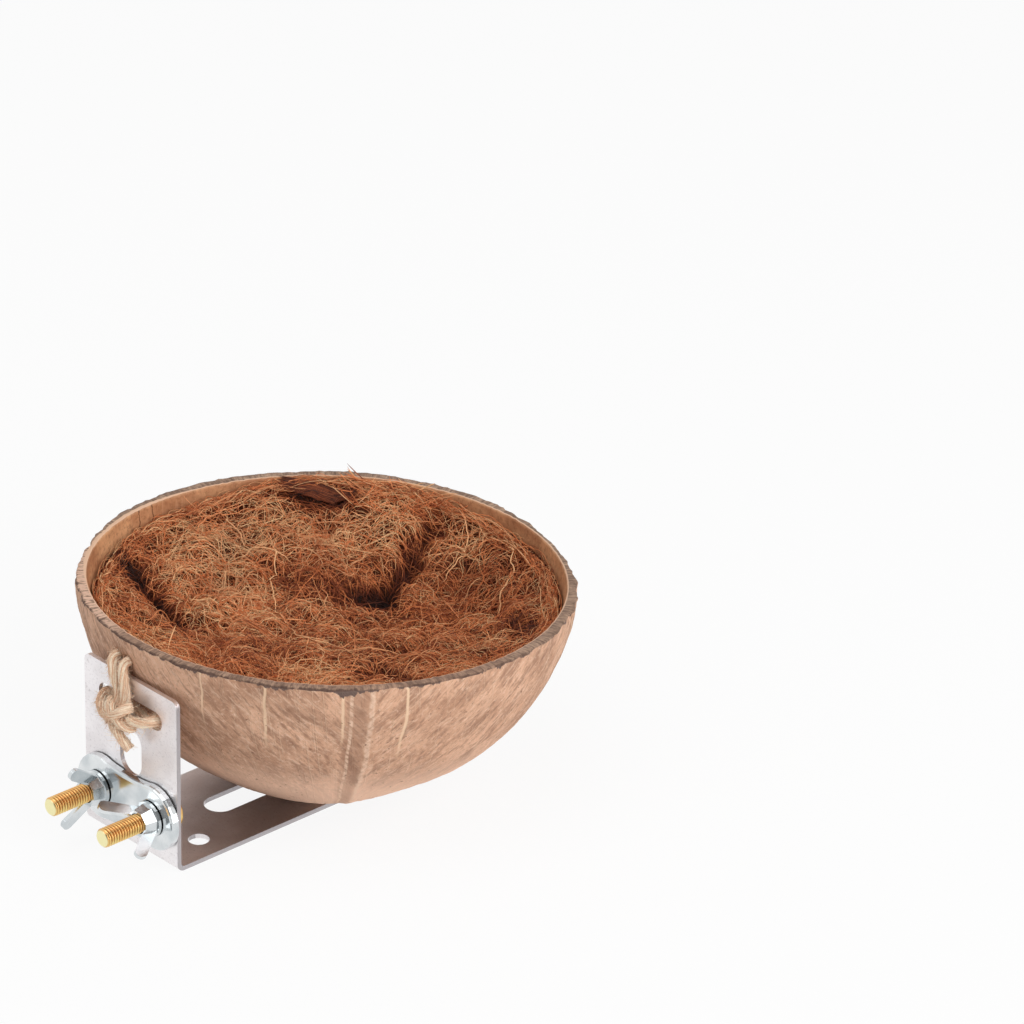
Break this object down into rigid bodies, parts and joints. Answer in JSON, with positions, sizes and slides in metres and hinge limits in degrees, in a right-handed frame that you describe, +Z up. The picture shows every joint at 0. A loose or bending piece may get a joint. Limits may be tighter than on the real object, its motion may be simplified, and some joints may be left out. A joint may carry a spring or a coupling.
{
  "type": "coconut bird nest",
  "caption": "Half coconut shell nest with a loose coir lining, tied by a jute cord to a bent steel bracket that a clamp plate, bolts and wing nuts fix to cage bars.",
  "frame": {"origin": "on the underside of the bracket's leg, midway between its two screw holes", "axes": "+X across the bracket, to the right as seen from the wing nuts; +Y from the upright towards the shell; +Z up"},
  "size_m": [0.1256, 0.1437, 0.0561],
  "materials": {
    "satin_steel": "satin zinc-plated sheet steel",
    "bright_zinc": "bright blue-white zinc plating",
    "yellow_zinc": "yellow passivated zinc plating",
    "coconut_husk": "sanded coconut shell, matt",
    "coir": "loose coir fibre",
    "jute": "hairy jute twine"
  },
  "bodies": {
    "base": {"mounting_bracket": "satin_steel", "coconut_shell": "coconut_husk", "bolt_left": "yellow_zinc", "bolt_right": "yellow_zinc", "tie_cord": "jute"},
    "clamp": {"clamp_plate": "bright_zinc"},
    "left_nut": {"wing_nut_left": "bright_zinc"},
    "right_nut": {"wing_nut_right": "bright_zinc"},
    "liner": {"coir_liner": "coir"}
  },
  "joints": [
    {"name": "clamp_slide", "type": "slide", "parent": "base", "child": "clamp", "axis": [0, -1, 0], "range_m": [0, 0.011]},
    {"name": "left_nut_turn", "type": "hinge", "parent": "clamp", "child": "left_nut", "pos_m": [-0.01, -0.013, 0.013], "axis": [0, -1, 0], "range_deg": [0, 4950]},
    {"name": "right_nut_turn", "type": "hinge", "parent": "clamp", "child": "right_nut", "pos_m": [0.01, -0.013, 0.013], "axis": [0, -1, 0], "range_deg": [0, 4950]},
    {"name": "liner_lift", "type": "slide", "parent": "base", "child": "liner", "axis": [0, 0.0419, 0.9991], "range_m": [0, 0.08]}
  ],
  "couplings": [
    {"joint": "left_nut_turn", "follows": "clamp_slide", "rad_per_m": 7854},
    {"joint": "right_nut_turn", "follows": "clamp_slide", "rad_per_m": 7854}
  ]
}
